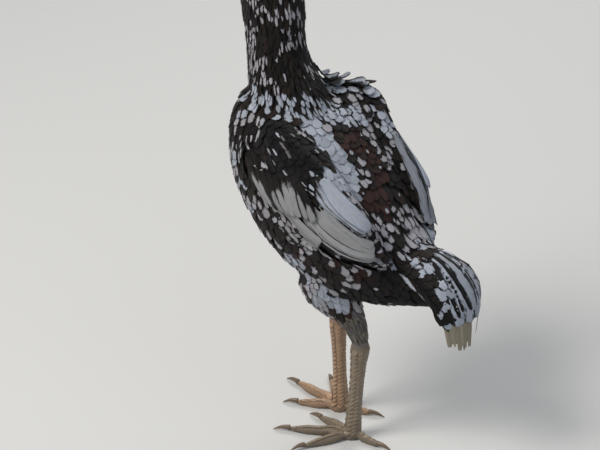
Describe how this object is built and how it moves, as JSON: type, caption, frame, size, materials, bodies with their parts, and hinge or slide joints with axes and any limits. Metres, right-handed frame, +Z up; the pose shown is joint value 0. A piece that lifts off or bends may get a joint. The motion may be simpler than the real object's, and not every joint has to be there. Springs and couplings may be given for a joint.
{
  "type": "chicken",
  "caption": "Life-size game hen standing upright with one foot ahead, dark plumage spangled with white.",
  "frame": {"origin": "on the floor, under the middle of the bird's box", "axes": "+Z up, the bird faces -Y, its left side is +X"},
  "size_m": [0.1508, 0.3224, 0.5331],
  "materials": {
    "plumage": "matt dark brown-black contour feathers with white tips",
    "flight_feathers": "matt greyish-white quill feathers with dark patches",
    "face_skin": "bare, finely wrinkled red skin",
    "beak": "satin yellowish horn",
    "eyes": "wet gloss",
    "leg_scales": "dry overlapping scales",
    "claws": "satin dark horn"
  },
  "bodies": {
    "root": {"trunk": "plumage", "neck_lower": "plumage", "neck_upper": "plumage", "thigh_left": "plumage", "thigh_right": "plumage", "wing_left_arm": "plumage", "wing_right_arm": "plumage", "wing_left_flight": "flight_feathers", "wing_right_flight": "flight_feathers", "tail": "flight_feathers", "head": "face_skin", "comb": "face_skin", "dewlap": "face_skin", "earlobe_left": "face_skin", "earlobe_right": "face_skin", "beak_upper": "beak", "beak_lower": "beak", "eye_left": "eyes", "eye_right": "eyes", "shank_left": "leg_scales", "foot_left": "leg_scales", "toe_left_inner": "leg_scales", "toe_left_middle": "leg_scales", "toe_left_outer": "leg_scales", "toe_left_hind": "leg_scales", "shank_right": "leg_scales", "foot_right": "leg_scales", "toe_right_inner": "leg_scales", "toe_right_middle": "leg_scales", "toe_right_outer": "leg_scales", "toe_right_hind": "leg_scales", "claw_left_inner": "claws", "claw_left_middle": "claws", "claw_left_outer": "claws", "claw_left_hind": "claws", "claw_right_inner": "claws", "claw_right_middle": "claws", "claw_right_outer": "claws", "claw_right_hind": "claws"}
  },
  "joints": []
}
